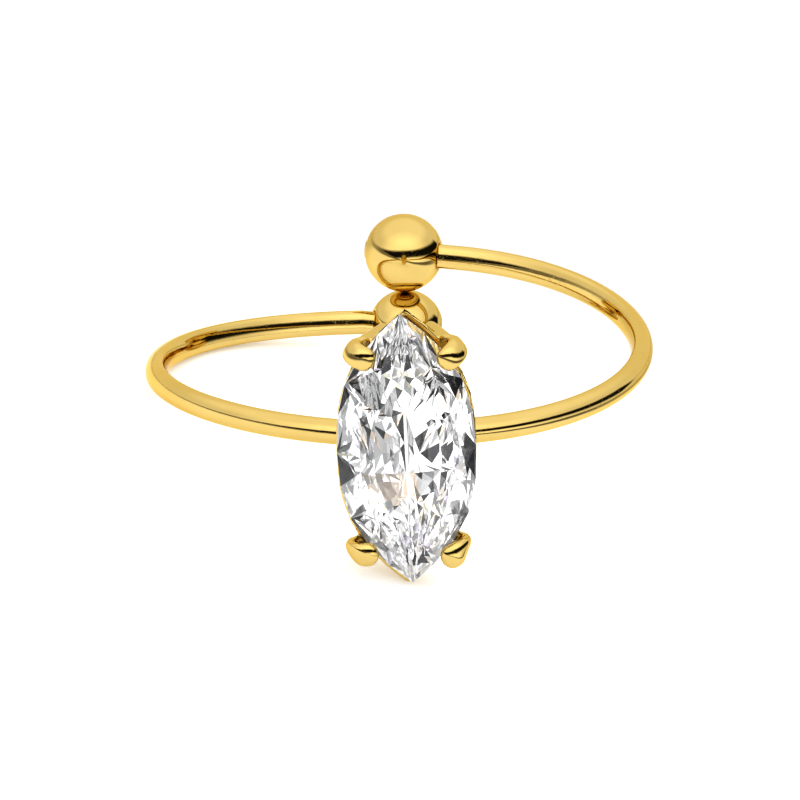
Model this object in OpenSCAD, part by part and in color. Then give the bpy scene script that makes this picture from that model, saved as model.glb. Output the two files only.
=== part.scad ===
// Open wire ring with a claw-set navette stone at the front and two beads, one above
// the other, on its ends at the back. Millimetres, +Z up, resting on its side at Z = 0
// as it would lie on a table, with the stone towards -Y.

/* [Wire] */
// Inside width of the ring, across the finger hole
inside_d = 17.1; // [15.5:0.1:20]
// Diameter of the wire, which is round but for a flatter inside
wire_d = 0.92; // [0.8:0.02:1.1]
// Depth of the wire's flatter inside, as a share of its radius
inner_depth = 0.8; // [0.76:0.02:0.86]
// Tilt of the flatter inside, in degrees upwards from level
inner_tilt = 14; // [0:1:20]
// Height that each end of the wire climbs or drops away from its level front
climb_h = 1.34; // [0.9:0.02:1.5]
// How late the climb comes: higher values keep more of the front level
lateness = 3.2; // [2.4:0.1:4.2]
// Place where the wire is level, in degrees to the right of the front
level_at = -5; // [-8:1:8]
// Straight stretch of wire that shows before each bead
lead_in = 0.3; // [0.1:0.05:0.6]
// Stub of wire that shows past the upper bead
upper_stub = 0.15; // [0.04:0.01:0.3]
// Stub of wire that shows past the lower bead
lower_stub = 0.05; // [0.04:0.01:0.3]

/* [Beads] */
// Diameter of the upper bead
upper_bead_d = 3.0; // [2.4:0.1:3.4]
// Diameter of the lower bead
lower_bead_d = 2.86; // [2.4:0.02:3.4]
// Depth of the small flat at each end of a bead's drilled hole
bead_flat = 0.13; // [0.08:0.01:0.18]
// Clearance between the wire and a bead's hole, all round
bore_gap = 0.04; // [0.035:0.005:0.05]
// Gap between the two beads
bead_gap = 0.03; // [0.02:0.01:0.2]
// Place of the upper bead, in degrees to the right of the front
upper_bead_at = 178.8; // [176:0.1:180]
// Place of the lower bead, in degrees to the left of the front
lower_bead_at = 181.7; // [180:0.1:184]
// Height of the meeting point of the beads above the wire's level front
bead_level = -0.09; // [-0.3:0.01:0.3]

/* [Stone] */
// Length of the stone, from tip to tip
stone_l = 10.1; // [8:0.1:11]
// Width of the stone at its middle
stone_w = 5; // [4:0.1:5.6]
// Fullness of the outline: 2 is a parabola, higher values are fuller
fullness = 2.7; // [2.2:0.1:3.2]
// Height of the crown above the girdle
crown_h = 1.0; // [0.7:0.05:1.3]
// Depth of the pavilion below the girdle
pavilion_h = 1.7; // [1.3:0.05:1.9]
// Thickness of the girdle
girdle_h = 0.12; // [0.06:0.02:0.2]
// Length of the table, from tip to tip
table_l = 6.0; // [4.8:0.1:6.6]
// Width of the table at its middle
table_w = 2.5; // [2:0.1:3]
// Length of the keel along the bottom of the pavilion
keel_l = 4.6; // [3:0.1:5.4]
// Width of the keel
keel_w = 0.12; // [0.06:0.02:0.3]
// Main facets of the crown, and of the pavilion
mains = 12; // [8:4:16]
// Turn of the stone in its setting, top to the left, in degrees
stone_turn = 2; // [0:0.5:2.5]

/* [Setting] */
// Least gap between the stone and the metal
seat_gap = 0.05; // [0.03:0.01:0.1]
// Thickness of the cup's wall
cup_wall = 0.21; // [0.14:0.01:0.24]
// Thickness of the cup's floor
cup_floor = 0.25; // [0.2:0.01:0.4]
// Length of the cup's back
back_l = 9.0; // [7.8:0.1:9.2]
// Width of the cup's back
back_w = 3.4; // [2.8:0.1:3.8]
// How far the rim shows past the stone at its tips
tip_show = 0.15; // [0.12:0.01:0.3]
// How far the rim shows past the stone at the middle of its long sides
side_show = 0.04; // [0.02:0.01:0.2]
// Depth of the rim below the girdle, at the tips
rim_drop = 0.22; // [0.2:0.01:0.4]
// Further depth of the rim at the middle of each long side
rim_dip = 0.16; // [0:0.02:0.4]
// Depth that the wire is sunk into the cup's back, where the two are soldered
solder_sink = 0.12; // [0.06:0.01:0.16]
// Height of the stone's centre above the wire's level front
setting_up = 0.23; // [-0.5:0.01:0.5]
// Place of the setting, in degrees to the right of the front
setting_at = 1.4; // [-4:0.1:4]
// Lean of the setting, top to the left, in degrees
setting_lean = 0.7; // [-3:0.1:3]

/* [Claws] */
// Width of a claw
claw_w = 0.9; // [0.7:0.02:1.1]
// Thickness of a claw
claw_t = 0.52; // [0.4:0.02:0.6]
// Distance of a claw's inner face from the stone's edge, at the girdle
claw_stand = 0.05; // [0.03:0.01:0.1]
// Height of the fold's middle above the girdle
claw_rise = 0.66; // [0.62:0.02:0.84]
// Length of a claw's fold over the stone, without its round tip
claw_reach = 0.46; // [0.4:0.02:0.7]
// Length of the round tip of a claw
claw_tip = 0.4; // [0.28:0.02:0.5]

/* [Hidden] */

// Each claw: its side, its height on the cup as a share of half the stone's length, the
// aim of its fold above the level, and how far its root stands out from the cup's back,
// as a share of its width
SIDE = 0;
HEIGHT = 1;
AIM = 2;
SPREAD = 3;
claws = [
    [-1, 0.75, -22, 0],
    [1, 0.76, -36, 0.3],
    [-1, -0.75, 5, 0],
    [1, -0.73, -27, 0]
];

wire_sides = 16;
inner_squareness = 4;
wire_step = 4;
outline_steps = 20;
claw_sides = 12;
fold_steps = 5;
claw_squareness = 2.2;
tip_turns = [20, 40, 60, 78];
crown_mid = 0.52;
crown_swell = 1.12;
rest_tries = 6;

function unit(v) = v / norm(v);
function mix(a, b, s) = a + (b - a) * s;

// The wire's centre line, by degrees to the right of the front

ring_r = (inside_d + wire_d) / 2;
stack = (upper_bead_d + lower_bead_d) / 2 + bead_gap;

function wire_height(f) =
    sign(f - level_at) * climb_h * pow(abs(sin((f - level_at) / 2)), lateness);
function wire_at(f) = [ring_r * sin(f), -ring_r * cos(f), wire_height(f)];

// Each end of the wire runs straight through its bead: side 1 is the right, upper end

function bead_d(side) = side > 0 ? upper_bead_d : lower_bead_d;
function bead_at(side) = side > 0 ? upper_bead_at : lower_bead_at;
function bead_stub(side) = side > 0 ? upper_stub : lower_stub;
function bead_run(side) = lead_in + bead_d(side) / 2;
function bend_end(side) = side * (bead_at(side) - atan(bead_run(side) / ring_r));
function bead_centre(side) =
    let (f = bend_end(side), start = wire_at(f))
    [start.x + side * bead_run(side) * cos(f),
     start.y + side * bead_run(side) * sin(f),
     bead_level + side * stack / 2];
function end_aim(side) = unit(bead_centre(side) - wire_at(bend_end(side)));
function wire_end(side) =
    bead_centre(side)
    + end_aim(side) * (bead_d(side) / 2 - bead_flat + bead_stub(side));

bend_steps = ceil((bend_end(1) - bend_end(-1)) / wire_step);
wire_line = concat(
    [wire_end(-1)],
    [for (i = [0:bend_steps]) wire_at(mix(bend_end(-1), bend_end(1), i / bend_steps))],
    [wire_end(1)]
);

// Rings of points swept along a line, and the closed surface over such rings

function heading(line, i) =
    unit(line[min(i + 1, len(line) - 1)] - line[max(i - 1, 0)]);
function swept_ring(centre, along, across, half_w, half_t, sides, square) =
    let (flat = unit(cross(along, across)), wide = cross(flat, along))
    [for (k = [0:sides - 1])
        let (a = -360 * (k + 0.5) / sides, c = cos(a), s = sin(a))
        centre + wide * half_w * sign(c) * pow(abs(c), 2 / square)
               + flat * half_t * sign(s) * pow(abs(s), 2 / square)];

module skin(rings) {
    n = len(rings[0]);
    last = (len(rings) - 1) * n;
    walls = [for (r = [0:len(rings) - 2], k = [0:n - 1])
        let (a = r * n + k, b = r * n + (k + 1) % n)
        each [[a, b, b + n], [a, b + n, a + n]]];
    polyhedron(
        points = [for (ring = rings) each ring],
        faces = concat([[for (k = [n - 1:-1:0]) k]], walls, [[for (k = [0:n - 1]) last + k]])
    );
}

function wire_ring(centre, along) =
    let (level = unit(cross(along, [0, 0, 1])), under = cross(along, level),
         out = level * cos(inner_tilt) + under * sin(inner_tilt),
         down = cross(along, out))
    [for (k = [0:wire_sides - 1])
        let (a = -360 * (k + 0.5) / wire_sides,
             reach = cos(a) > 0 ? cos(a) : -inner_depth * pow(-cos(a), 2 / inner_squareness))
        centre + (out * reach + down * sin(a)) * wire_d / 2];

module wire() {
    skin([for (i = [0:len(wire_line) - 1]) wire_ring(wire_line[i], heading(wire_line, i))]);
}

// The navette outline, as X and Y on the girdle plane, from tip to tip and back

function navette(l, w, a) =
    [sign(sin(a)) * w / 2 * (1 - pow(abs(cos(a)), fullness)), l / 2 * cos(a)];
function navette_ring(l, w, steps, z, turn = 0) =
    [for (i = [0:steps - 1])
        let (p = navette(l, w, 360 * (i + turn) / steps)) [p.x, p.y, z]];

// Stone: table, stars, kites and girdle facets above; the same below, down to a keel

function half_rings(flat_l, flat_w, h, z) =
    let (m_l = mix(stone_l, flat_l, crown_mid), m_w = mix(stone_w, flat_w, crown_mid))
    [navette_ring(stone_l, stone_w, 2 * mains, z),
     navette_ring(m_l, m_w, mains, z + h * crown_mid * crown_swell, 0.5),
     navette_ring(flat_l, flat_w, mains, z + h)];

function half_faces(girdle, middle, flat) =
    [for (i = [0:mains - 1])
        let (next = (i + 1) % mains, m = middle + i, m_next = middle + next,
             g = girdle + 2 * i, g_half = g + 1, g_next = girdle + 2 * next,
             t = flat + i, t_next = flat + next)
        each [[g, g_half, m], [g_half, g_next, m], [t, m, t_next],
              [g_next, m_next, m], [t_next, m, m_next]]];

function flipped(faces) = [for (f = faces) [for (k = [len(f) - 1:-1:0]) f[k]]];

module cut_stone() {
    crown = half_rings(table_l, table_w, crown_h, girdle_h / 2);
    pavilion = half_rings(keel_l, keel_w, -pavilion_h, -girdle_h / 2);
    points = [for (ring = concat(crown, pavilion)) each ring];
    below = 4 * mains;
    band = [for (i = [0:2 * mains - 1])
        let (j = (i + 1) % (2 * mains))
        each [[i, below + i, below + j], [i, below + j, j]]];
    polyhedron(
        points = points,
        faces = concat(
            half_faces(0, 2 * mains, 3 * mains),
            [[for (k = [0:mains - 1]) 3 * mains + k]],
            band,
            flipped(half_faces(below, below + 2 * mains, below + 3 * mains)),
            [[for (k = [mains - 1:-1:0]) below + 3 * mains + k]]
        )
    );
}

// Cup of the setting, on the girdle plane: its rim lies under the stone's edge

// A wall's thickness counts for more along the axis of a pointed tip
tip_grow = 1 / sin(atan(fullness * stone_w / stone_l));
rim_l = stone_l + 2 * tip_show;
rim_w = stone_w + 2 * side_show;
pocket_l = rim_l - 2 * cup_wall * tip_grow;
pocket_w = rim_w - 2 * cup_wall;
cup_depth = girdle_h / 2 + pavilion_h + seat_gap + cup_floor;
floor_z = cup_floor - cup_depth;
pocket_floor_l = back_l - 2 * cup_wall * tip_grow;
pocket_floor_w = back_w - 2 * cup_wall;

function rim_z(p, l) = -girdle_h / 2 - rim_drop - rim_dip * pow(cos(180 * p.y / l), 2);
function rim_ring(l, w) =
    [for (p = navette_ring(l, w, 2 * outline_steps, 0)) [p.x, p.y, rim_z(p, l)]];

module cup() {
    skin([
        navette_ring(back_l, back_w, 2 * outline_steps, -cup_depth),
        rim_ring(rim_l, rim_w),
        rim_ring(pocket_l, pocket_w),
        navette_ring(pocket_floor_l, pocket_floor_w, 2 * outline_steps, floor_z)
    ]);
}

// Claws: a flat rod up the outside of the cup, let into the rim, then out round the
// outline that the turned stone fills and folded over the stone's edge

tip_sway = stone_l / 2 * sin(stone_turn);
clear_l = stone_l + 2 * (seat_gap + tip_sway);
clear_w = stone_w + 2 * seat_gap;
function claw_y(claw) = claw[HEIGHT] * stone_l / 2;
function half_width(l, w, y) = w / 2 * (1 - pow(abs(2 * y / l), fullness));
function wall_aim(y) =
    -sign(y) * atan(fullness * stone_w / stone_l * pow(abs(2 * y / stone_l), fullness - 1));
function claw_middle(l, w, y, stand) =
    half_width(l, w, y) + (claw_t / 2 + stand) / cos(wall_aim(y));

function claw_line(claw) =
    let (side = claw[SIDE], y = claw_y(claw),
         x_root = side * (claw_middle(back_l, back_w, y, -cup_wall / 2)
                          + claw[SPREAD] * claw_w),
         x_rim = side * claw_middle(rim_l, rim_w, y, -cup_wall / 2),
         x_top = side * claw_middle(clear_l, clear_w, y, claw_stand),
         top = [x_top, y, -girdle_h / 2],
         corner = [x_top, y, claw_rise],
         fold = [-side * cos(claw[AIM]), sin(claw[AIM]), 0],
         end = corner + fold * claw_reach)
    concat(
        [[x_root, y, floor_z - cup_floor / 2], [x_rim, y, rim_z([0, y], rim_l)], top],
        [for (i = [1:fold_steps])
            let (s = i / fold_steps)
            top * (1 - s) * (1 - s) + corner * 2 * s * (1 - s) + end * s * s]
    );
function claw_across(claw, s) =
    let (aim = mix(wall_aim(claw_y(claw)), claw[AIM], s))
    [sin(aim), claw[SIDE] * cos(aim), 0];

module claw(row) {
    line = claw_line(row);
    n = len(line);
    tip_out = heading(line, n - 1);
    shaft = [for (i = [0:n - 1])
        swept_ring(line[i], heading(line, i), claw_across(row, max(0, i - 2) / fold_steps),
                   claw_w / 2, claw_t / 2, claw_sides, claw_squareness)];
    tip = [for (a = tip_turns)
        swept_ring(line[n - 1] + tip_out * claw_tip * sin(a), tip_out, claw_across(row, 1),
                   claw_w / 2 * cos(a), claw_t / 2 * cos(a), claw_sides, claw_squareness)];
    skin(concat(shaft, tip));
}

// The setting stands on the wire's outside, its girdle plane facing outwards

girdle_r = ring_r + wire_d / 2 - solder_sink + cup_depth;

module on_front() {
    rotate([0, 0, setting_at]) translate([0, -girdle_r, setting_up])
        rotate([90, 0, 0]) rotate([0, 0, setting_lean]) children();
}

function turned(p, a) = [p.x * cos(a) - p.y * sin(a), p.x * sin(a) + p.y * cos(a), p.z];
function from_setting(p) =
    let (q = turned(p, setting_lean))
    turned([q.x, -girdle_r - q.z, setting_up + q.y], setting_at);

// Resting pose: the plane that touches the rim's lower tip, the lower bead and the
// left of the wire. A touching piece is a centre and a radius.

tip_touch = from_setting([0, -rim_l / 2, rim_z([0, rim_l / 2], rim_l)]);
bead_touch = bead_centre(-1);

function touching(c1, r1, c2, r2, c3, r3) =
    let (a = c1 - c2, b = c1 - c3, n = cross(a, b),
         flat = ((r1 - r2) * cross(b, n) + (r1 - r3) * cross(n, a)) / (n * n))
    flat + sign(n.z) * sqrt(1 - flat * flat) * unit(n);
function lowest_wire(up) =
    let (fs = [for (f = [-150:1:-30]) f], hs = [for (f = fs) up * wire_at(f)], low = min(hs))
    [for (i = [0:len(fs) - 1]) if (hs[i] == low) fs[i]][0];
function rest_up(up, tries) =
    tries == 0 ? up :
    rest_up(touching(tip_touch, 0, bead_touch, lower_bead_d / 2,
                     wire_at(lowest_wire(up)), wire_d / 2), tries - 1);

up = rest_up([0, 0, 1], rest_tries);
back = unit([0, 1, 0] - up * up.y);
right = cross(back, up);
table_h = up * tip_touch;
side_reach = [for (f = [-120:2:120]) right * wire_at(f)];
front_face = [for (p = navette_ring(table_l, table_w, mains, girdle_h / 2 + crown_h))
    back * from_setting(turned(p, stone_turn))];
mid_x = (min(side_reach) + max(side_reach)) / 2;
bead_reach = [for (side = [-1, 1]) back * bead_centre(side) + bead_d(side) / 2];
mid_y = (min(front_face) + max(bead_reach)) / 2;

module at_rest() {
    multmatrix([
        [right.x, right.y, right.z, -mid_x],
        [back.x, back.y, back.z, -mid_y],
        [up.x, up.y, up.z, -table_h]
    ]) children();
}

// Pieces

module shank_with_setting() {
    color("gold") at_rest() {
        wire();
        on_front() {
            cup();
            for (row = claws) claw(row);
        }
    }
}

module stone() {
    color("white") at_rest() on_front() rotate([0, 0, stone_turn]) cut_stone();
}

module bead(side) {
    d = bead_d(side);
    aim = end_aim(side);
    translate(bead_centre(side))
        rotate([0, acos(aim.z), atan2(aim.y, aim.x)])
            difference() {
                intersection() {
                    sphere(d = d, $fn = 64);
                    cylinder(d = 2 * d, h = d - 2 * bead_flat, center = true, $fn = 64);
                }
                cylinder(d = wire_d + 2 * bore_gap, h = 2 * d, center = true, $fn = 48);
            }
}

module upper_bead() {
    color("gold") at_rest() bead(1);
}

module lower_bead() {
    color("gold") at_rest() bead(-1);
}

shank_with_setting();
stone();
upper_bead();
lower_bead();
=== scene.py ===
"""Open wire ring with a claw-set navette stone and two beads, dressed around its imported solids.

The ring is drawn in its own frame, in millimetres: the axis of the finger hole is +Z, the
stone faces -Y and the right of the ring is +X. The rest pose then lays it on the floor.
"""

import logging
import math
from collections import Counter
from dataclasses import dataclass, field
from enum import Enum

import bmesh
import bpy
import numpy as np
from mathutils import Matrix, Vector


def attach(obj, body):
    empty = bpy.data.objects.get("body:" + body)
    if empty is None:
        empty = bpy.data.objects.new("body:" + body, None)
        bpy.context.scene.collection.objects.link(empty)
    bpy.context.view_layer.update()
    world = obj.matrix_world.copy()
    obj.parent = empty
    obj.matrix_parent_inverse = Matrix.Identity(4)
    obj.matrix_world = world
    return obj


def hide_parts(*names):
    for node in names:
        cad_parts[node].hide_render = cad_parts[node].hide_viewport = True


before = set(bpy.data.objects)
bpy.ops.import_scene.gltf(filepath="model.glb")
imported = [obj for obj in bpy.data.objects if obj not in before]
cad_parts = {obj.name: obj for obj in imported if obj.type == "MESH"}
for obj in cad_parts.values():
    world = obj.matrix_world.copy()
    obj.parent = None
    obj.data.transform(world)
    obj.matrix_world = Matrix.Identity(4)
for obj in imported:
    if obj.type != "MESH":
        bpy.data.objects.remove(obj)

MM = 0.001
UP = np.array([0.0, 0.0, 1.0])
LOG = logging.getLogger("navette_ring")

# Types that many signatures share

Faces = list[list[int]]
Surface = tuple[np.ndarray, Faces]
Span = tuple[float, float]
Colour = tuple[float, float, float]
Socket = bpy.types.NodeSocket
Material = bpy.types.Material


class Side(Enum):
    """The two ends of the wire, by the side on which each goes round."""

    LEFT = -1
    RIGHT = 1


class PaintedReflection(Enum):
    """Painted reflection tones of places where the facets look one way together, the dark ones as
    painted shade.
    """

    DARK = (0.08, 0.08, 0.085)
    GREY = (0.3, 0.3, 0.3)
    PALE = (0.6, 0.6, 0.6)
    WHITE = (0.97, 0.97, 0.97)
    WARM = (0.95, 0.84, 0.74)
    GOLD = (0.95, 0.72, 0.32)


@dataclass(frozen=True)
class Patch:
    """A round place on the stone's back whose facets share one painted reflection tone, in
    millimetres.
    """

    x: float
    y: float
    radius: float
    tone: PaintedReflection


# Vectors and outlines


def unit(vector: np.ndarray) -> np.ndarray:
    """Returns the vector at length 1."""
    return vector / np.linalg.norm(vector)


def mix(start: float, end: float, share: float) -> float:
    """Returns the value that lies at a share of the way from start to end."""
    return start + (end - start) * share


def cos_sin(degrees: float) -> Span:
    """Returns the cosine and the sine of an angle in degrees."""
    angle = math.radians(degrees)
    return math.cos(angle), math.sin(angle)


def rotation(axis: str, degrees: float) -> np.ndarray:
    """Returns the matrix that turns about one of the axes X, Y and Z."""
    return np.array(Matrix.Rotation(math.radians(degrees), 3, axis))


def navette(length: float, width: float, fullness: float, steps: int, z: float,
            turn: float = 0.0) -> np.ndarray:
    """Draws the pointed oval outline of the stone.

    Args:
        length: Size from tip to tip, along Y.
        width: Size across the middle, along X.
        fullness: Power of the sides: 2 is a parabola, higher values are fuller.
        steps: Points round the outline, the first at the upper tip.
        z: Height of the outline.
        turn: Shift of the points along the outline, in steps.

    Returns:
        The points, one row each.
    """
    angle = 2 * np.pi * (np.arange(steps) + turn) / steps
    cosine = np.cos(angle)
    x = np.sign(np.sin(angle)) * width / 2 * (1 - np.abs(cosine) ** fullness)
    return np.stack([x, length / 2 * cosine, np.full(steps, z)], axis=1)


def swept_ring(centre: np.ndarray, along: np.ndarray, across: np.ndarray, half_w: float,
               half_t: float, sides: int, square: float = 2.0) -> np.ndarray:
    """Draws one cross-section of a rod.

    Args:
        centre: Middle of the section.
        along: Direction of the rod there, at length 1.
        across: Direction of the section's thickness.
        half_w: Half of its width.
        half_t: Half of its thickness.
        sides: Points of the section.
        square: 2 for an ellipse, more for a squarer section.

    Returns:
        The points, one row each.
    """
    flat = unit(np.cross(along, across))
    wide = np.cross(flat, along)
    angle = -2 * np.pi * (np.arange(sides) + 0.5) / sides
    c, s = np.cos(angle), np.sin(angle)
    w = half_w * np.sign(c) * np.abs(c) ** (2 / square)
    t = half_t * np.sign(s) * np.abs(s) ** (2 / square)
    return centre + np.outer(w, wide) + np.outer(t, flat)


def headings(line: np.ndarray) -> np.ndarray:
    """Returns the direction of a line at each of its points."""
    return np.array([unit(step) for step in np.gradient(line, axis=0)])


# Meshes


def skin(rings: list[np.ndarray]) -> Surface:
    """Returns a closed surface over rings of as many points each, in their order."""
    n = len(rings[0])
    last = (len(rings) - 1) * n
    walls = [[r * n + k, r * n + (k + 1) % n, (r + 1) * n + (k + 1) % n, (r + 1) * n + k]
             for r in range(len(rings) - 1) for k in range(n)]
    caps = [list(range(n))[::-1], [last + k for k in range(n)]]
    return np.vstack(rings), walls + caps


def joined(parts: list[Surface]) -> Surface:
    """Puts the points and faces of several surfaces into one."""
    points, faces, start = [], [], 0
    for part_points, part_faces in parts:
        points.append(part_points)
        faces += [[start + k for k in f] for f in part_faces]
        start += len(part_points)
    return np.vstack(points), faces


def new_object(name: str, points: np.ndarray, faces: Faces) -> bpy.types.Object:
    """Makes an object from points and faces and puts it into the scene.

    Args:
        name: Name of the object and its mesh.
        points: Corners, one row each.
        faces: Indices of each face's corners.

    Returns:
        The object, with its faces turned outwards.
    """
    mesh = bpy.data.meshes.new(name)
    mesh.from_pydata([tuple(p) for p in points], [], faces)
    work = bmesh.new()
    work.from_mesh(mesh)
    bmesh.ops.recalc_face_normals(work, faces=work.faces)
    work.to_mesh(mesh)
    work.free()
    made = bpy.data.objects.new(name, mesh)
    bpy.context.scene.collection.objects.link(made)
    return made


def apply_modifiers(piece: bpy.types.Object) -> None:
    """Turns an object's modifiers into its mesh."""
    graph = bpy.context.evaluated_depsgraph_get()
    mesh = bpy.data.meshes.new_from_object(piece.evaluated_get(graph))
    old = piece.data
    piece.modifiers.clear()
    piece.data = mesh
    bpy.data.meshes.remove(old)


def smooth(piece: bpy.types.Object, crease: float) -> None:
    """Shades an object smooth but for the edges that bend more than the crease, in degrees."""
    piece.data.shade_smooth()
    piece.data.set_sharp_from_angle(angle=math.radians(crease))


def report(piece: bpy.types.Object) -> None:
    """Logs an object's name and the number of its triangles."""
    count = sum(len(f.vertices) - 2 for f in piece.data.polygons)
    LOG.info("%s: %d triangles", piece.name, count)


# Shader node groups


def new_group(name: str, inputs: dict[str, float], outputs: dict[str, str]) -> bpy.types.NodeTree:
    """Starts a shader node group.

    Args:
        name: Name of the group.
        inputs: Value sockets that go in, with the values that they start at.
        outputs: Sockets that come out, with their types.

    Returns:
        The group, with its Group Input and Group Output nodes.
    """
    group = bpy.data.node_groups.new(name, "ShaderNodeTree")
    for socket, value in inputs.items():
        made = group.interface.new_socket(socket, in_out="INPUT", socket_type="NodeSocketFloat")
        made.default_value = value
    for socket, kind in outputs.items():
        group.interface.new_socket(socket, in_out="OUTPUT", socket_type=kind)
    group.nodes.new("NodeGroupInput")
    group.nodes.new("NodeGroupOutput")
    return group


class Graph:
    """Short ways to add and join the nodes of one tree."""

    def __init__(self, tree: bpy.types.NodeTree) -> None:
        """Keeps the tree."""
        self.tree = tree

    def add(self, kind: str, **settings: object) -> bpy.types.Node:
        """Adds a node of a kind, sets some of its properties and returns it."""
        node = self.tree.nodes.new(kind)
        for name, value in settings.items():
            setattr(node, name, value)
        return node

    def feed(self, value: object, socket: Socket) -> None:
        """Joins a socket to another, or sets a plain value on it."""
        if isinstance(value, Socket):
            self.tree.links.new(value, socket)
        else:
            socket.default_value = value

    def feed_all(self, node: bpy.types.Node, values: dict[str, object]) -> None:
        """Joins or sets several inputs of a node, given by their names."""
        for name, value in values.items():
            self.feed(value, node.inputs[name])

    def here(self) -> Socket:
        """Returns the place on the object, in metres."""
        return self.add("ShaderNodeTexCoord").outputs["Object"]

    def effect(self, group: bpy.types.NodeTree,
               values: dict[str, object]) -> bpy.types.NodeOutputs:
        """Adds a shared node group, sets its inputs and returns its outputs."""
        node = self.add("ShaderNodeGroup", node_tree=group)
        self.feed_all(node, values)
        return node.outputs

    def worked_out(self, kind: str, operation: str, values: tuple) -> bpy.types.Node:
        """Adds a node that works out something from values and returns it."""
        node = self.add(kind, operation=operation)
        for value, socket in zip(values, node.inputs):
            self.feed(value, socket)
        return node

    def maths(self, operation: str, *values: object) -> Socket:
        """Works out a value from others and returns its socket."""
        return self.worked_out("ShaderNodeMath", operation, values).outputs[0]

    def vectors(self, operation: str, *values: object) -> bpy.types.Node:
        """Works out something from vectors and returns the node."""
        return self.worked_out("ShaderNodeVectorMath", operation, values)

    def scaled(self, vector: Socket, factor: object) -> Socket:
        """Returns a vector made longer by a factor."""
        node = self.vectors("SCALE", vector)
        self.feed(factor, node.inputs["Scale"])
        return node.outputs[0]

    def dot(self, vector: Socket, direction: np.ndarray) -> Socket:
        """Returns the part of a vector that lies along a fixed direction."""
        return self.vectors("DOT_PRODUCT", vector, tuple(direction)).outputs["Value"]

    def noise(self, place: Socket, scale: float, detail: float) -> Socket:
        """Returns a soft noise over a place."""
        node = self.add("ShaderNodeTexNoise")
        self.feed_all(node, {"Vector": place, "Scale": scale, "Detail": detail})
        return node.outputs["Fac"]

    def step(self, value: Socket, low: float, high: float,
             out_low: float = 0.0, out_high: float = 1.0) -> Socket:
        """Returns a smooth step of a value between two bounds."""
        node = self.add("ShaderNodeMapRange", interpolation_type="SMOOTHSTEP")
        self.feed_all(node, {"Value": value, "From Min": low, "From Max": high,
                             "To Min": out_low, "To Max": out_high})
        return node.outputs["Result"]

    def blend(self, share: Socket, first: Colour, second: Colour) -> Socket:
        """Returns a colour between two, by the share of the second."""
        node = self.add("ShaderNodeMix", data_type="RGBA")
        self.feed_all(node, {"Factor": share, "A": (*first, 1.0), "B": (*second, 1.0)})
        return node.outputs["Result"]


@dataclass(frozen=True)
class FineWear:
    """Effect of handling: hairline scratches in three directions and a faint ripple."""

    hairlines: tuple[Span, ...] = ((0.4, 2.3), (1.9, 3.1), (2.7, 2.7))
    turn_shares: tuple[float, float, float] = (1.0, 0.7, 1.3)
    fineness: float = 6.0
    stretch: float = 0.25
    hairline_band: Span = (0.66, 0.72)
    patch_scale: float = 0.9
    patch_band: Span = (0.42, 0.66)
    ripple_scale: float = 2.1
    details: Span = (2.0, 1.5)
    scratch_depth: float = 0.02

    def build(self) -> bpy.types.NodeTree:
        """Builds the effect.

        Returns:
            A group that puts out a height in millimetres and a mask of the dulled places.
        """
        group = new_group("fine_wear", {"Scratches": 0.3, "Ripple": 0.3},
                          {"Height": "NodeSocketFloat", "Dulled": "NodeSocketFloat"})
        g = Graph(group)
        source = group.nodes["Group Input"].outputs
        place = g.scaled(g.here(), 1 / MM)
        detail, ripple_detail = self.details
        lines = []
        for turn, density in self.hairlines:
            stretched = g.add("ShaderNodeMapping")
            fine, long = density * self.fineness, density * self.stretch
            g.feed_all(stretched, {"Vector": place, "Scale": (fine, long, fine),
                                   "Rotation": tuple(turn * s for s in self.turn_shares)})
            lines.append(g.step(g.noise(stretched.outputs[0], 1.0, detail),
                                *self.hairline_band))
        scratch = g.maths("MAXIMUM", g.maths("MAXIMUM", lines[0], lines[1]), lines[2])
        worn = g.step(g.noise(place, self.patch_scale, detail), *self.patch_band)
        scratch = g.maths("MULTIPLY", g.maths("MULTIPLY", scratch, worn), source["Scratches"])
        wave = g.maths("MULTIPLY", g.noise(place, self.ripple_scale, ripple_detail),
                       source["Ripple"])
        depth = g.maths("MULTIPLY", scratch, self.scratch_depth)
        g.feed_all(group.nodes["Group Output"],
                   {"Height": g.maths("SUBTRACT", wave, depth), "Dulled": scratch})
        return group


@dataclass(frozen=True)
class ToneDrift:
    """Slow change of a surface from patch to patch, as from thin to thick plating."""

    detail: float = 3.0
    band: Span = (0.3, 0.7)

    def build(self) -> bpy.types.NodeTree:
        """Builds the group, whose mask goes from 0 to 1 over patches of a size in mm."""
        group = new_group("tone_drift", {"Patch": 2.4}, {"Mask": "NodeSocketFloat"})
        g = Graph(group)
        size = group.nodes["Group Input"].outputs["Patch"]
        place = g.scaled(g.here(), g.maths("DIVIDE", 1 / MM, size))
        mask = g.step(g.noise(place, 1.0, self.detail), *self.band)
        g.feed_all(group.nodes["Group Output"], {"Mask": mask})
        return group


@dataclass
class Effects:
    """The node groups that the finishes share."""

    fine_wear: bpy.types.NodeTree = field(default_factory=FineWear().build)
    tone_drift: bpy.types.NodeTree = field(default_factory=ToneDrift().build)


def new_material(name: str) -> tuple[Material, Graph, bpy.types.Node]:
    """Starts a material and returns it with its graph and its Principled shader."""
    made = bpy.data.materials.new(name)
    made.use_nodes = True
    return made, Graph(made.node_tree), made.node_tree.nodes["Principled BSDF"]


# Finishes


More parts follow.
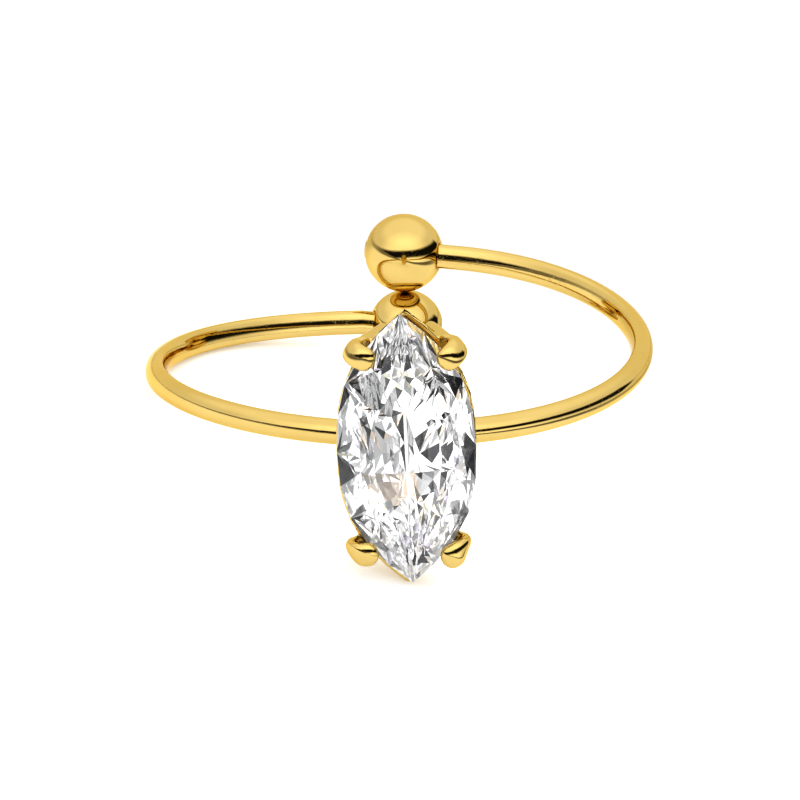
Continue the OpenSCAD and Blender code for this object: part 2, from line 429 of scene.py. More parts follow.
@dataclass(frozen=True)
class PolishedGold:
    """Bright yellow gold plating, a little thinner in places and faintly scratched."""

    name: str
    thin: Colour = (0.64, 0.48, 0.185)
    thick: Colour = (0.67, 0.51, 0.205)
    edge: Colour = (0.95, 0.8, 0.5)
    roughness: float = 0.05
    dulled: float = 0.12
    scratches: float = 0.08
    ripple: float = 0.004

    def make(self, effects: Effects) -> Material:
        """Builds the material from the shared node groups and returns it."""
        material, g, shader = new_material(self.name)
        wear = g.effect(effects.fine_wear, {"Scratches": self.scratches, "Ripple": self.ripple})
        drift = g.effect(effects.tone_drift, {})
        bump = g.add("ShaderNodeBump")
        g.feed_all(bump, {"Distance": MM, "Height": wear["Height"]})
        g.feed_all(shader, {
            "Base Color": g.blend(drift["Mask"], self.thin, self.thick),
            "Roughness": g.maths("MULTIPLY_ADD", wear["Dulled"], self.dulled, self.roughness),
            "Normal": bump.outputs["Normal"],
            "Metallic": 1.0,
            "Specular Tint": (*self.edge, 1.0),
        })
        return material


@dataclass(frozen=True)
class CutCrystal:
    """Clear lead-like crystal, seen through the crown of the stone."""

    name: str = "clear_crystal"
    tint: Colour = (0.985, 0.99, 1.0)
    ior: float = 1.58
    roughness: float = 0.0
    dulled: float = 0.05
    scratches: float = 0.15

    def make(self, effects: Effects) -> Material:
        """Builds the material from the shared node groups and returns it."""
        material, g, shader = new_material(self.name)
        wear = g.effect(effects.fine_wear, {"Scratches": self.scratches, "Ripple": 0.0})
        g.feed_all(shader, {
            "Base Color": (*self.tint, 1.0),
            "Roughness": g.maths("MULTIPLY_ADD", wear["Dulled"], self.dulled, self.roughness),
            "IOR": self.ior,
            "Transmission Weight": 1.0,
        })
        return material


@dataclass(frozen=True)
class SilverFoil:
    """Silvered back of the stone, whose facets carry painted reflection tones and glow with them a
    little as painted light.
    """

    name: str = "silver_foil"
    painted_glow: float = 0.26
    roughness: float = 0.01
    dulled: float = 0.03
    patch: float = 0.8

    def make(self, effects: Effects) -> Material:
        """Builds the material from the shared node groups and returns it."""
        material, g, shader = new_material(self.name)
        tone = g.add("ShaderNodeAttribute", attribute_name=Stone.PAINTED_TONE).outputs["Color"]
        drift = g.effect(effects.tone_drift, {"Patch": self.patch})
        # The painted reflection tones go into the colour and, as painted light, into a glow
        g.feed_all(shader, {
            "Base Color": tone,
            "Emission Color": tone,
            "Emission Strength": self.painted_glow,
            "Roughness": g.maths("MULTIPLY_ADD", drift["Mask"], self.dulled, self.roughness),
            "Metallic": 1.0,
        })
        return material


@dataclass(frozen=True)
class PaleFloor:
    """Smooth white paper that glows a little, with painted light round the ring and painted shade
    behind it and far out before it.
    """

    name: str = "pale_floor"
    colour: Colour = (0.93, 0.93, 0.93)
    roughness: float = 0.6
    sheen: float = 0.2
    painted_glow: float = 0.22
    rear: Span = (11.0, 21.0)
    rear_light: float = 0.86
    lit_half: Span = (20.0, 45.0)
    far_off: float = 1.8
    far_light: float = 0.15
    far_behind: Span = (-10.0, 60.0)

    def make(self) -> Material:
        """Builds the material, which needs no shared node group, and returns it."""
        material, g, shader = new_material(self.name)
        place = g.here()
        shares = (1 / (self.lit_half[0] * MM), 1 / (self.lit_half[1] * MM), 0.0)
        reach = g.vectors("LENGTH", g.vectors("MULTIPLY", place, shares).outputs[0])
        behind = g.dot(place, np.array([0.0, 1.0, 0.0]) / MM)
        facing = g.step(behind, *self.far_behind, 1.0, 0.0)
        far = g.step(reach.outputs["Value"], 1.0, self.far_off)
        # Painted shade: the paper is darker far out before the ring
        lost = g.maths("MULTIPLY", g.maths("MULTIPLY", far, facing), 1 - self.far_light)
        # Painted shade: the paper is darker behind the ring, where its painted glow fades too
        rear = g.step(behind, *self.rear)
        dimmed = g.maths("MULTIPLY_ADD", rear, self.rear_light - 1, 1.0)
        lit = g.maths("MULTIPLY", g.maths("SUBTRACT", 1.0, lost), dimmed)
        painted_glow = g.maths("MULTIPLY_ADD", rear, -self.painted_glow, self.painted_glow)
        g.feed_all(shader, {
            "Base Color": g.blend(lit, (0.0, 0.0, 0.0), self.colour),
            "Roughness": self.roughness,
            "Specular IOR Level": self.sheen,
            "Emission Color": (1.0, 1.0, 1.0, 1.0),
            "Emission Strength": g.maths("MULTIPLY", lit, painted_glow),
        })
        return material


# Pieces of the ring


@dataclass
class Shank:
    """Round wire that goes once round the finger, with a bead on each of its ends."""

    inside_d: float = 17.1
    wire_d: float = 0.92
    inner_depth: float = 0.8
    inner_squareness: float = 4.0
    inner_tilt: float = 14.0
    climb_h: float = 1.34
    lateness: float = 3.2
    level_at: float = -5.0
    lead_in: float = 0.3
    upper_stub: float = 0.15
    lower_stub: float = 0.05
    upper_bead_d: float = 3.0
    lower_bead_d: float = 2.86
    bead_flat: float = 0.13
    bead_gap: float = 0.03
    upper_bead_at: float = 178.8
    lower_bead_at: float = 181.7
    bead_level: float = -0.09
    sides: int = 56
    steps: int = 240
    end_round: float = 0.28
    end_turns: tuple[int, ...] = (90, 60, 30, 0)

    @property
    def ring_r(self) -> float:
        """Radius of the wire's centre line."""
        return (self.inside_d + self.wire_d) / 2

    def height(self, degrees: float) -> float:
        """Returns the height of the wire at an angle from the front."""
        off = degrees - self.level_at
        rise = self.climb_h * abs(math.sin(math.radians(off) / 2)) ** self.lateness
        return math.copysign(rise, off)

    def point(self, degrees: float) -> np.ndarray:
        """Returns the wire's centre at an angle to the right of the front."""
        cosine, sine = cos_sin(degrees)
        return np.array([self.ring_r * sine, -self.ring_r * cosine, self.height(degrees)])

    def bead_d(self, side: Side) -> float:
        """Returns the diameter of the bead on one end."""
        return self.upper_bead_d if side is Side.RIGHT else self.lower_bead_d

    def bead_run(self, side: Side) -> float:
        """Returns the straight run from the end of the bend to the bead's centre."""
        return self.lead_in + self.bead_d(side) / 2

    def bend_end(self, side: Side) -> float:
        """Returns the angle at which the wire's bend ends."""
        place = self.upper_bead_at if side is Side.RIGHT else self.lower_bead_at
        straight = math.degrees(math.atan(self.bead_run(side) / self.ring_r))
        return side.value * (place - straight)

    def bead_centre(self, side: Side) -> np.ndarray:
        """Returns the centre of the bead on one end."""
        start = self.point(self.bend_end(side))
        cosine, sine = cos_sin(self.bend_end(side))
        run = side.value * self.bead_run(side)
        stack = (self.upper_bead_d + self.lower_bead_d) / 2 + self.bead_gap
        return np.array([start[0] + run * cosine, start[1] + run * sine,
                         self.bead_level + side.value * stack / 2])

    def end_aim(self, side: Side) -> np.ndarray:
        """Returns the direction in which the wire runs through the bead on one end."""
        return unit(self.bead_centre(side) - self.point(self.bend_end(side)))

    def end(self, side: Side) -> np.ndarray:
        """Returns the middle of the wire's end face."""
        stub = self.upper_stub if side is Side.RIGHT else self.lower_stub
        past = self.bead_d(side) / 2 - self.bead_flat + stub
        return self.bead_centre(side) + self.end_aim(side) * past

    def section(self, centre: np.ndarray, along: np.ndarray, radius: float) -> np.ndarray:
        """Draws one cross-section of the wire, round outside and flatter inside.

        Args:
            centre: Middle of the section.
            along: Direction of the wire there, at length 1.
            radius: Radius of the round side.

        Returns:
            The points, one row each.
        """
        level = unit(np.cross(along, UP))
        cosine, sine = cos_sin(self.inner_tilt)
        out = level * cosine + np.cross(along, level) * sine
        down = np.cross(along, out)
        angle = -2 * np.pi * (np.arange(self.sides) + 0.5) / self.sides
        c = np.cos(angle)
        inner = -self.inner_depth * np.abs(c) ** (2 / self.inner_squareness)
        reach = np.where(c > 0, c, inner)
        return centre + radius * (np.outer(reach, out) + np.outer(np.sin(angle), down))

    def end_rings(self, centre: np.ndarray, along: np.ndarray,
                  inwards: np.ndarray) -> list[np.ndarray]:
        """Draws the sections of one rounded end, from the middle of its face inwards."""
        rings = []
        for cosine, sine in map(cos_sin, self.end_turns):
            depth, inset = self.end_round * (1 - sine), self.end_round * (1 - cosine)
            rings.append(self.section(centre + inwards * depth, along, self.wire_d / 2 - inset))
        return rings

    def surface(self) -> Surface:
        """Returns the closed surface of the wire, with the edges of its ends rounded."""
        first, last = self.bend_end(Side.LEFT), self.bend_end(Side.RIGHT)
        bend = [self.point(a) for a in np.linspace(first, last, self.steps)]
        line = np.array([self.end(Side.LEFT), *bend, self.end(Side.RIGHT)])
        along = headings(line)
        along[0] = -self.end_aim(Side.LEFT)
        along[-1] = self.end_aim(Side.RIGHT)
        middle = [self.section(line[i], along[i], self.wire_d / 2)
                  for i in range(1, len(line) - 1)]
        return skin([*self.end_rings(line[0], along[0], along[0]), *middle,
                     *self.end_rings(line[-1], along[-1], -along[-1])[::-1]])


@dataclass
class Claw:
    """One claw, by the shares that set it.

    Its side, its height on half of the stone, the aim of its fold in degrees, and how far
    its root stands out from the cup, in widths of the claw.
    """

    side: int
    share: float
    aim: float
    spread: float


@dataclass
class Stone:
    """Navette crystal with a table, stars, kites and girdle facets over a keeled back."""

    # Face attribute that carries the painted reflection tones of the back's facets
    PAINTED_TONE = "painted_facet_tone"

    length: float = 10.1
    width: float = 5.0
    fullness: float = 2.7
    crown_h: float = 1.0
    pavilion_h: float = 1.7
    girdle_h: float = 0.12
    table_l: float = 6.0
    table_w: float = 2.5
    keel_l: float = 4.6
    keel_w: float = 0.12
    mains: int = 12
    turn: float = 2.0
    middle: float = 0.52
    swell: float = 1.12
    seed: int = 7
    facet_dents: tuple[float, ...] = (0.07, 0.03)
    middle_band: Span = (0.3, 0.7)
    # Painted light: the back's facets are made paler towards the lower tip, as if more light from
    # the floor got in
    low_light: float = 0.65
    # Painted reflections: random greys for what each facet reflects, and a share of painted fire
    # in coloured flashes
    greys: tuple[float, ...] = (0.09, 0.36, 0.86)
    grey_shares: tuple[float, ...] = (0.18, 0.22, 0.6)
    fire: tuple[Colour, ...] = ((1.0, 0.86, 0.72), (1.0, 0.95, 0.72), (0.86, 0.82, 1.0))
    fire_share: float = 0.08
    # Painted reflections and painted shade: round places whose facets are painted dark, grey,
    # pale, white, warm or gold
    patches: tuple[Patch, ...] = (
        Patch(-1.75, 0.9, 0.75, PaintedReflection.WHITE), Patch(1.9, 0.9, 0.7, PaintedReflection.WHITE),
        Patch(-1.6, -1.6, 0.6, PaintedReflection.WHITE), Patch(1.6, -1.4, 0.6, PaintedReflection.WHITE),
        Patch(0.3, 1.3, 0.45, PaintedReflection.WHITE), Patch(-0.3, -1.6, 0.6, PaintedReflection.WARM),
        Patch(-2.1, -0.7, 0.42, PaintedReflection.DARK), Patch(2.1, -0.65, 0.42, PaintedReflection.DARK),
        Patch(1.0, -0.2, 0.26, PaintedReflection.DARK), Patch(-2.0, 2.0, 0.3, PaintedReflection.DARK),
        Patch(-0.7, 1.8, 0.42, PaintedReflection.GREY), Patch(1.75, 2.3, 0.35, PaintedReflection.DARK),
        Patch(-0.3, 2.8, 0.32, PaintedReflection.DARK), Patch(-0.5, -0.45, 0.32, PaintedReflection.GREY),
        Patch(0.2, -4.0, 0.25, PaintedReflection.DARK), Patch(1.5, -2.5, 0.3, PaintedReflection.GREY),
        Patch(-1.85, -2.6, 0.28, PaintedReflection.DARK), Patch(-1.0, -3.6, 0.3, PaintedReflection.GREY),
        Patch(0.0, 0.0, 0.05, PaintedReflection.PALE), Patch(0.4, 4.5, 0.22, PaintedReflection.GOLD),
        Patch(0.75, 4.2, 0.22, PaintedReflection.GOLD), Patch(1.15, 3.8, 0.22, PaintedReflection.GOLD))

    def half(self, flat_l: float, flat_w: float, height: float, z: float) -> list[np.ndarray]:
        """Draws the three rings of corners of the crown or the pavilion.

        Args:
            flat_l: Length of the table or keel.
            flat_w: Width of the table or keel.
            height: Height of the half, below zero for the pavilion.
            z: Height of the girdle's edge.

        Returns:
            The rings at the girdle, at the middle and at the table or keel.
        """
        middle_l = mix(self.length, flat_l, self.middle)
        middle_w = mix(self.width, flat_w, self.middle)
        return [
            navette(self.length, self.width, self.fullness, 2 * self.mains, z),
            navette(middle_l, middle_w, self.fullness, self.mains,
                    z + height * self.middle * self.swell, 0.5),
            navette(flat_l, flat_w, self.fullness, self.mains, z + height),
        ]

    def half_faces(self, girdle: int, middle: int, flat: int) -> Faces:
        """Lists the facets between the rings whose first corners are given."""
        faces = []
        for i in range(self.mains):
            following = (i + 1) % self.mains
            m, m_next = middle + i, middle + following
            g, g_half, g_next = girdle + 2 * i, girdle + 2 * i + 1, girdle + 2 * following
            t, t_next = flat + i, flat + following
            faces += [[g, g_half, m], [g_half, g_next, m], [t, m, t_next],
                      [g_next, m_next, m], [t_next, m, m_next]]
        return faces

    def split(self, points: np.ndarray, faces: Faces, dent: float) -> Surface:
        """Cuts each facet into shards at the middles of its inner edges, which sink a little.

        Args:
            points: Corners of the stone, one row each.
            faces: The facets to cut, three corners each.
            dent: Largest depth that a middle sinks.

        Returns:
            The points with the new middles added, and the shards.
        """
        dice = np.random.default_rng(self.seed)
        uses = Counter(frozenset(edge) for f in faces for edge in zip(f, f[1:] + f[:1]))
        middles, sunk = {}, []
        for edge, count in uses.items():
            if count == 2:
                middles[edge] = len(points) + len(sunk)
                a, b = (points[k] for k in sorted(edge))
                middle = mix(a, b, dice.uniform(*self.middle_band))
                sunk.append(middle - unit(middle * [1, 0, 1]) * dice.uniform(0, dent))
        shards = []
        for a, b, c in faces:
            ring = []
            for start, end in ((a, b), (b, c), (c, a)):
                ring.append(start)
                if frozenset((start, end)) in middles:
                    ring.append(middles[frozenset((start, end))])
            first = int(dice.choice([i for i, k in enumerate(ring) if k >= len(points)]))
            ring = ring[first:] + ring[:first]
            shards += [[ring[0], ring[i], ring[i + 1]] for i in range(1, len(ring) - 1)]
        return np.vstack([points, sunk]), shards

    def tones(self, middles: np.ndarray) -> np.ndarray:
        """Draws a painted reflection colour for each facet: random greys, paler towards the lower
        tip as painted light, a little painted fire, and the patches over them.

        Args:
            middles: Middle of each facet, one row each.

        Returns:
            The colours, one row each.
        """
        dice = np.random.default_rng(self.seed)
        count = len(middles)
        grey = dice.choice(self.greys, count, p=self.grey_shares)
        # Painted light: facets towards the lower tip are made paler
        low = np.clip(-middles[:, 1] * 2 / self.length, 0, 1)
        colours = np.ones((count, 4))
        colours[:, :3] = (grey ** (1 - self.low_light * low))[:, None]
        coloured = dice.random(count) < self.fire_share
        colours[coloured, :3] = np.array(self.fire)[dice.integers(len(self.fire),
                                                                  size=coloured.sum())]
        # Painted reflections and painted shade from the patches
        for patch in self.patches:
            off = np.hypot(middles[:, 0] - patch.x, middles[:, 1] - patch.y)
            colours[off < patch.radius, :3] = patch.tone.value
        return colours

    def build(self, place: "RestPose", setting: "Setting") -> bpy.types.Object:
        """Builds the stone.

        Args:
            place: The pose in which the ring rests.
            setting: The setting that holds the stone.

        Returns:
            The stone, in metres, with the tone of each facet of its back.
        """
        crown = self.half(self.table_l, self.table_w, self.crown_h, self.girdle_h / 2)
        pavilion = self.half(self.keel_l, self.keel_w, -self.pavilion_h, -self.girdle_h / 2)
        rim, flat, below = (count * self.mains for count in (2, 3, 4))
        upper = self.half_faces(0, rim, flat)
        upper.append([flat + k for k in range(self.mains)])
        upper += [[i, (i + 1) % rim, below + (i + 1) % rim, below + i] for i in range(rim)]
        lower = self.half_faces(below, below + rim, below + flat)
        points = np.vstack(crown + pavilion)
        for dent in self.facet_dents:
            points, lower = self.split(points, lower, dent)
        lower.append([below + flat + k for k in range(self.mains)])
        colours = self.tones(np.array([points[f].mean(axis=0) for f in upper + lower]))
        points = points @ rotation("Z", self.turn).T
        piece = new_object("cut_stone", place.laid(setting.on_front(points)), upper + lower)
        piece.data.polygons.foreach_set(
            "material_index", [0] * len(upper) + [1] * len(lower))
        piece.data.attributes.new(self.PAINTED_TONE, "FLOAT_COLOR", "FACE").data.foreach_set(
            "color", colours.astype(np.float32).ravel())
        return piece

    def dress(self, piece: bpy.types.Object, crystal: Material, foil: Material) -> None:
        """Gives the stone its clear crown and silvered back, and its place in the table."""
        piece.data.materials.append(crystal)
        piece.data.materials.append(foil)
        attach(piece, "root")
        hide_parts("stone")


@dataclass
class Setting:
    """Thin navette cup on the front of the wire, with four claws folded over the stone."""

    stone: Stone = field(default_factory=Stone)
    shank: Shank = field(default_factory=Shank)
    seat_gap: float = 0.05
    cup_wall: float = 0.21
    cup_floor: float = 0.25
    back_l: float = 9.0
    back_w: float = 3.4
    tip_show: float = 0.15
    side_show: float = 0.04
    rim_drop: float = 0.22
    rim_dip: float = 0.16
    solder_sink: float = 0.12
    up: float = 0.23
    at: float = 1.4
    lean: float = 0.7
    claw_w: float = 0.9
    claw_t: float = 0.52
    claw_stand: float = 0.05
    claw_rise: float = 0.66
    claw_reach: float = 0.46
    claw_tip: float = 0.4
    claw_squareness: float = 2.2
    claws: tuple[Claw, ...] = (Claw(-1, 0.75, -22, 0.0), Claw(1, 0.76, -36, 0.3),
                               Claw(-1, -0.75, 5, 0.0), Claw(1, -0.73, -27, 0.0))
    tip_turns: range = range(12, 85, 12)
    solder: tuple[float, float, float] = (1.5, 0.66, 0.3)
    solder_turns: range = range(-80, 81, 10)
    solder_sides: int = 24
    outline_steps: int = 96
    fold_steps: int = 14
    claw_sides: int = 32
    voxel: float = 0.05
    blend_rounds: int = 5
    crease: float = 50.0

    @property
    def tip_slope(self) -> float:
        """Slope of the outline at its tips."""
        return self.stone.fullness * self.stone.width / self.stone.length

    @property
    def tip_grow(self) -> float:
        """What a wall's thickness counts for along the axis of a tip."""
        return 1 / math.sin(math.atan(self.tip_slope))

    @property
    def rim(self) -> Span:
        """Length and width of the rim's outside."""
        return (self.stone.length + 2 * self.tip_show, self.stone.width + 2 * self.side_show)

    @property
    def pocket(self) -> Span:
        """Length and width of the cup's mouth."""
        length, width = self.rim
        return (length - 2 * self.cup_wall * self.tip_grow, width - 2 * self.cup_wall)

    @property
    def clear(self) -> Span:
        """Length and width of the outline that the turned stone fills."""
        sway = self.stone.length / 2 * cos_sin(self.stone.turn)[1]
        return (self.stone.length + 2 * (self.seat_gap + sway),
                self.stone.width + 2 * self.seat_gap)

    @property
    def depth(self) -> float:
        """Depth of the cup's back below the girdle plane."""
        return self.stone.girdle_h / 2 + self.stone.pavilion_h + self.seat_gap + self.cup_floor

    @property
    def girdle_r(self) -> float:
        """Distance of the girdle plane from the ring's axis."""
        return self.shank.ring_r + self.shank.wire_d / 2 - self.solder_sink + self.depth

    def rim_z(self, y: np.ndarray, length: float) -> np.ndarray:
        """Returns the height of the rim, which dips at the middle of each long side."""
        drop = -self.stone.girdle_h / 2 - self.rim_drop
        return drop - self.rim_dip * np.cos(np.pi * y / length) ** 2

    def rim_ring(self, length: float, width: float) -> np.ndarray:
        """Draws one edge of the rim."""
        ring = navette(length, width, self.stone.fullness, 2 * self.outline_steps, 0)
        ring[:, 2] = self.rim_z(ring[:, 1], length)
        return ring

    def cup(self) -> Surface:
        """Returns the closed surface of the cup, on the girdle plane."""
        full, steps = self.stone.fullness, 2 * self.outline_steps
        grown = 2 * self.cup_wall
        return skin([
            navette(self.back_l, self.back_w, full, steps, -self.depth),
            self.rim_ring(*self.rim),
            self.rim_ring(*self.pocket),
            navette(self.back_l - grown * self.tip_grow, self.back_w - grown, full, steps,
                    self.cup_floor - self.depth),
        ])

    def wall_aim(self, y: float) -> float:
        """Returns the turn of the cup's wall at a height, in degrees."""
        share = abs(2 * y / self.stone.length) ** (self.stone.fullness - 1)
        return -math.copysign(math.degrees(math.atan(self.tip_slope * share)), y)

    def claw_middle(self, length: float, width: float, y: float, stand: float) -> float:
        """Returns how far out a claw's middle stands from an outline at a height."""
        half = width / 2 * (1 - abs(2 * y / length) ** self.stone.fullness)
        return half + (self.claw_t / 2 + stand) / cos_sin(self.wall_aim(y))[0]

    def claw_ring(self, centre: np.ndarray, along: np.ndarray, side: int, turn: float,
                  share: float = 1.0) -> np.ndarray:
        """Draws one section of a claw, turned by an angle and shrunk to a share."""
        cosine, sine = cos_sin(turn)
        return swept_ring(centre, along, np.array([sine, side * cosine, 0.0]),
                          self.claw_w / 2 * share, self.claw_t / 2 * share, self.claw_sides,
                          self.claw_squareness)

    def claw(self, row: Claw) -> Surface:
        """Sweeps one claw up the cup's wall and over the edge of the stone.

        Args:
            row: The claw's side, height and aim.

        Returns:
            The points and the faces of the claw, on the girdle plane.
        """
        y = row.share * self.stone.length / 2
        cosine, sine = cos_sin(row.aim)
        let_in = -self.cup_wall / 2
        root_x = row.side * (self.claw_middle(self.back_l, self.back_w, y, let_in)
                             + row.spread * self.claw_w)
        rim_x = row.side * self.claw_middle(*self.rim, y, let_in)
        top_x = row.side * self.claw_middle(*self.clear, y, self.claw_stand)
        top = np.array([top_x, y, -self.stone.girdle_h / 2])
        corner = np.array([top_x, y, self.claw_rise])
        fold = np.array([-row.side * cosine, sine, 0.0])
        end = corner + fold * self.claw_reach
        shares = np.linspace(0, 1, self.fold_steps + 1)[:, None]
        bend = (top * (1 - shares) ** 2 + corner * 2 * shares * (1 - shares)
                + end * shares ** 2)
        line = np.vstack([[root_x, y, self.cup_floor / 2 - self.depth],
                          [rim_x, y, float(self.rim_z(np.array(y), self.rim[0]))], bend])
        along = headings(line)
        rings = []
        for i, point in enumerate(line):
            turn = mix(self.wall_aim(y), row.aim, max(0, i - 2) / self.fold_steps)
            rings.append(self.claw_ring(point, along[i], row.side, turn))
        for share, depth in map(cos_sin, self.tip_turns):
            rings.append(self.claw_ring(line[-1] + along[-1] * self.claw_tip * depth,
                                        along[-1], row.side, row.aim, share))
        return skin(rings)

    def solder_pad(self) -> Surface:
        """Returns the flattened drop of solder between the cup's back and the wire."""
        long, wide, thick = self.solder
        level = -self.depth - self.solder_sink / 2
        return skin([swept_ring(np.array([long * sine, 0.0, level]), np.array([1.0, 0.0, 0.0]),
                                UP, thick * cosine, wide * cosine, self.solder_sides)
                     for cosine, sine in map(cos_sin, self.solder_turns)])

    def on_front(self, points: np.ndarray) -> np.ndarray:
        """Moves points from the girdle plane to the front of the wire."""
        turned = points @ rotation("Z", self.lean).T @ rotation("X", 90).T
        return (turned + [0.0, -self.girdle_r, self.up]) @ rotation("Z", self.at).T

    def build(self, place: "RestPose") -> bpy.types.Object:
        """Builds the wire, the cup and the claws as the one soldered piece that they are.

        Args:
            place: The pose in which the ring rests.

        Returns:
            The piece, in metres.
        """
        points, faces = joined([self.cup(), self.solder_pad(),
                                *(self.claw(row) for row in self.claws)])
        piece = new_object("gold_shank_with_setting", self.on_front(points), faces)
        remesh = piece.modifiers.new("fuse", "REMESH")
        remesh.mode = "VOXEL"
        remesh.voxel_size = self.voxel
        soften = piece.modifiers.new("blend", "SMOOTH")
        soften.factor = 0.5
        soften.iterations = self.blend_rounds
        apply_modifiers(piece)
        wire = new_object("wire_for_union", *self.shank.surface())
        union = piece.modifiers.new("solder", "BOOLEAN")
        union.operation = "UNION"
        union.solver = "MANIFOLD"
        union.object = wire
        apply_modifiers(piece)
        bpy.data.objects.remove(wire)
        co = np.empty(len(piece.data.vertices) * 3)
        piece.data.vertices.foreach_get("co", co)
        piece.data.vertices.foreach_set("co", place.laid(co.reshape(-1, 3)).ravel())
        piece.data.update()
        return piece

    def dress(self, piece: bpy.types.Object, gold: Material) -> None:
        """Gives the metal its gold, smooth shading and its place in the table."""
        smooth(piece, self.crease)
        piece.data.materials.clear()
        piece.data.materials.append(gold)
        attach(piece, "root")
        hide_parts("shank_with_setting")


@dataclass
class Bead:
    """Round drilled bead on one end of the wire."""

    side: Side
    shank: Shank
    bore_gap: float = 0.04
    edge_round: float = 0.05
    edge_share: float = 0.3
    sides: int = 144
    steps: int = 96
    crease: float = 30.0

    @property
    def node(self) -> str:
        """Name of the bead's solid."""
        return "upper_bead" if self.side is Side.RIGHT else "lower_bead"

    def build(self, place: "RestPose") -> bpy.types.Object:
        """Turns the bead's profile round the wire.

        Args:
            place: The pose in which the ring rests.

        Returns:
            The bead, in metres.
        """
        radius = self.shank.bead_d(self.side) / 2
        bore = self.shank.wire_d / 2 + self.bore_gap
        reach = radius - self.shank.bead_flat
        flat_r = math.sqrt(radius ** 2 - reach ** 2)
        limit = math.asin(reach / radius)
        arc = [(radius * math.cos(a), radius * math.sin(a))
               for a in np.linspace(-limit, limit, self.steps)]
        mouth = min(self.edge_round, (flat_r - bore) / 2)
        edge = mouth * self.edge_share
        profile = [(bore + mouth, -reach), *arc, (bore + mouth, reach),
                   (bore + edge, reach - edge), (bore, reach - mouth),
                   (bore, mouth - reach), (bore + edge, edge - reach)]
        aim = self.shank.end_aim(self.side)
        across = unit(np.cross(aim, UP))
        over = np.cross(aim, across)
        centre = self.shank.bead_centre(self.side)
        points, faces = [], []
        n = len(profile)
        for k in range(self.sides):
            a = 2 * math.pi * k / self.sides
            out = math.cos(a) * across + math.sin(a) * over
            points += [centre + out * r + aim * h for r, h in profile]
            first, second = k * n, (k + 1) % self.sides * n
            faces += [[first + i, first + (i + 1) % n, second + (i + 1) % n, second + i]
                      for i in range(n)]
        return new_object(f"gold_{self.node}", place.laid(np.array(points)), faces)

    def dress(self, piece: bpy.types.Object, gold: Material) -> None:
        """Gives the bead its gold, smooth shading and its place in the table."""
        smooth(piece, self.crease)
        piece.data.materials.append(gold)
        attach(piece, "root")
        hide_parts(self.node)


# Pose, light and camera


@dataclass
class RestPose:
    """The ring lying on its side, on the setting's lower tip, the lower bead and the wire."""

    shank: Shank
    setting: Setting
    tries: int = 6
    left_stretch: range = range(-150, -29)
    wide_stretch: range = range(-120, 121, 2)

    def __post_init__(self) -> None:
        """Works out the directions of the floor in the ring's frame, and the shift."""
        shank, setting = self.shank, self.setting
        length = setting.rim[0]
        tip_z = float(setting.rim_z(np.array(length / 2), length))
        tip = setting.on_front(np.array([[0.0, -length / 2, tip_z]]))[0]
        bead = shank.bead_centre(Side.LEFT)
        up = UP
        for _ in range(self.tries):
            lowest = min(self.left_stretch, key=lambda a: up @ shank.point(a))
            up = self.touching(tip, 0.0, bead, shank.lower_bead_d / 2, shank.point(lowest),
                               shank.wire_d / 2)
        back = unit(np.array([0.0, 1.0, 0.0]) - up * up[1])
        right = np.cross(back, up)
        reach = [right @ shank.point(a) for a in self.wide_stretch]
        stone = setting.stone
        table = navette(stone.table_l, stone.table_w, stone.fullness, stone.mains,
                        stone.girdle_h / 2 + stone.crown_h)
        front = setting.on_front(table @ rotation("Z", stone.turn).T) @ back
        beads = [back @ shank.bead_centre(s) + shank.bead_d(s) / 2 for s in Side]
        self.axes = np.array([right, back, up])
        self.shift = np.array([(min(reach) + max(reach)) / 2, (min(front) + max(beads)) / 2,
                               up @ tip])

    @staticmethod
    def touching(c1: np.ndarray, r1: float, c2: np.ndarray, r2: float, c3: np.ndarray,
                 r3: float) -> np.ndarray:
        """Returns the upward normal of the plane that three balls stand on."""
        a, b = c1 - c2, c1 - c3
        n = np.cross(a, b)
        flat = ((r1 - r2) * np.cross(b, n) + (r1 - r3) * np.cross(n, a)) / (n @ n)
        return flat + math.copysign(1.0, n[2]) * math.sqrt(1 - flat @ flat) * unit(n)

    def laid(self, points: np.ndarray) -> np.ndarray:
        """Moves points from the ring's frame, in mm, to the floor's frame, in metres."""
        return (points @ self.axes.T - self.shift) * MM

    def aimed(self, direction: np.ndarray) -> np.ndarray:
        """Turns a direction from the ring's frame to the floor's."""
        return self.axes @ direction


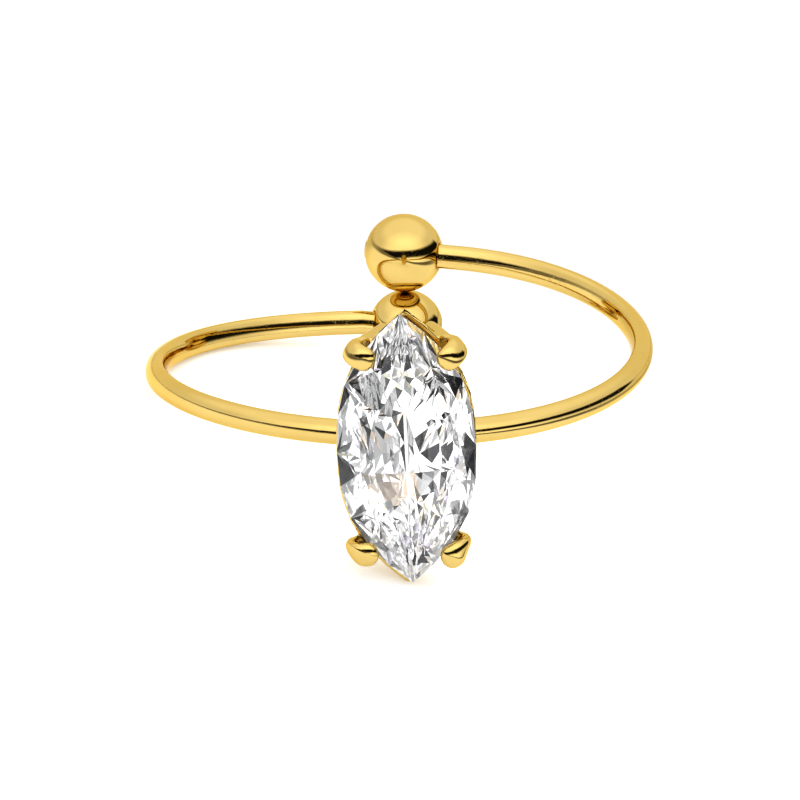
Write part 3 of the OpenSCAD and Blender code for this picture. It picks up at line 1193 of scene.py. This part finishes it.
@dataclass
class Studio:
    """Camera at the photograph's angle, a pale floor and a white tent with a dark slit."""

    place: RestPose
    camera_el: float = 17.81
    camera_shift: tuple[float, float, float] = (-0.045, 1.512, 298.24)
    lens_mm: float = 360.0
    sensor_mm: float = 36.0
    sight_m: Span = (0.01, 20.0)
    floor_half: float = 1.5
    floor_gap: float = 0.00001
    slit_half: float = 0.2
    slit_level: float = 0.2
    slit_droop: float = 0.118
    slit_tilt: float = 0.044
    slit_reach: float = -0.65
    slit_fade: float = 0.25
    slit_edge: Span = (-0.09, 0.06)
    slit_light: float = 0.02
    tent_front: float = 1.22
    tent_back: float = 0.79
    tent_turn: Span = (0.0, 0.9)
    tent_top: float = 0.18
    tent_rise: Span = (0.45, 0.8)

    def camera_axes(self) -> np.ndarray:
        """Returns the camera's right, up and view directions in the ring's frame."""
        cosine, sine = cos_sin(self.camera_el)
        return np.array([[1.0, 0.0, 0.0], [0.0, sine, cosine], [0.0, cosine, -sine]])

    def build_camera(self) -> None:
        """Builds the camera and makes it the scene's."""
        axes = self.camera_axes()
        position = self.place.laid(-axes.T @ np.array(self.camera_shift))
        data = bpy.data.cameras.new("camera")
        data.lens = self.lens_mm
        data.sensor_width = self.sensor_mm
        data.clip_start, data.clip_end = self.sight_m
        camera = bpy.data.objects.new("camera", data)
        turned = np.array([self.place.aimed(a) for a in (axes[0], axes[1], -axes[2])]).T
        matrix = Matrix(turned.tolist()).to_4x4()
        matrix.translation = Vector(position)
        camera.matrix_world = matrix
        bpy.context.scene.collection.objects.link(camera)
        bpy.context.scene.camera = camera

    def build_floor(self) -> None:
        """Builds the floor, just under what rests on it."""
        half = self.floor_half
        corners = np.array([[-half, -half, 0], [half, -half, 0], [half, half, 0],
                            [-half, half, 0]]) - [0, 0, self.floor_gap]
        floor = new_object("floor", corners, [[0, 1, 2, 3]])
        floor.data.materials.append(PaleFloor().make())

    def build_world(self) -> None:
        """Builds the tent: bright before the ring and above, with a dark slit that ends behind."""
        world = bpy.data.worlds.new("tent")
        world.use_nodes = True
        bpy.context.scene.world = world
        g = Graph(world.node_tree)
        background = world.node_tree.nodes["Background"]
        seen = g.add("ShaderNodeTexCoord").outputs["Generated"]
        axes = self.camera_axes()
        front, right, height = (g.dot(seen, self.place.aimed(np.array(way)))
                                for way in ((0.0, -1.0, 0.0), (1.0, 0.0, 0.0), UP))
        level = g.maths("MULTIPLY_ADD", right, self.slit_tilt,
                        self.slit_level - self.slit_droop)
        level = g.maths("MULTIPLY_ADD", front, self.slit_droop, level)
        off = g.maths("ABSOLUTE", g.maths("SUBTRACT", height, level))
        near = g.step(front, self.slit_reach, self.slit_reach + self.slit_fade)
        width = g.maths("MULTIPLY", near, self.slit_half)
        open_tent = g.step(g.maths("SUBTRACT", off, width), *self.slit_edge)
        shade = g.step(front, *self.tent_turn, self.tent_back, self.tent_front)
        top = g.step(height, *self.tent_rise, 0.0, self.tent_top)
        value = g.maths("MULTIPLY", g.maths("ADD", shade, top), open_tent)
        g.feed(g.maths("ADD", value, self.slit_light), background.inputs["Strength"])
        g.feed((1.0, 1.0, 1.0, 1.0), background.inputs["Color"])
        LOG.info("tent: camera looks along %s", np.round(self.place.aimed(axes[2]), 3))

    def build(self) -> None:
        """Builds the camera, the floor and the light, and sets how colours are shown."""
        self.build_camera()
        self.build_floor()
        self.build_world()
        bpy.context.scene.view_settings.view_transform = "Standard"
        bpy.context.scene.view_settings.look = "High Contrast"


def main() -> None:
    """Builds the ring, dresses it and reports each piece."""
    logging.basicConfig(level=logging.INFO, format="%(name)s: %(message)s")
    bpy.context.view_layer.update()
    shank = Shank()
    stone = Stone()
    setting = Setting(stone=stone, shank=shank)
    place = RestPose(shank=shank, setting=setting)
    Studio(place=place).build()

    effects = Effects()
    wire_gold = PolishedGold("wire_gold").make(effects)
    bead_gold = PolishedGold("bead_gold", scratches=0.03).make(effects)

    metal = setting.build(place)
    setting.dress(metal, wire_gold)
    report(metal)

    crystal = stone.build(place, setting)
    stone.dress(crystal, CutCrystal().make(effects), SilverFoil().make(effects))
    report(crystal)

    for side in Side:
        bead = Bead(side=side, shank=shank)
        ball = bead.build(place)
        bead.dress(ball, bead_gold)
        report(ball)


if __name__ == "__main__":
    main()
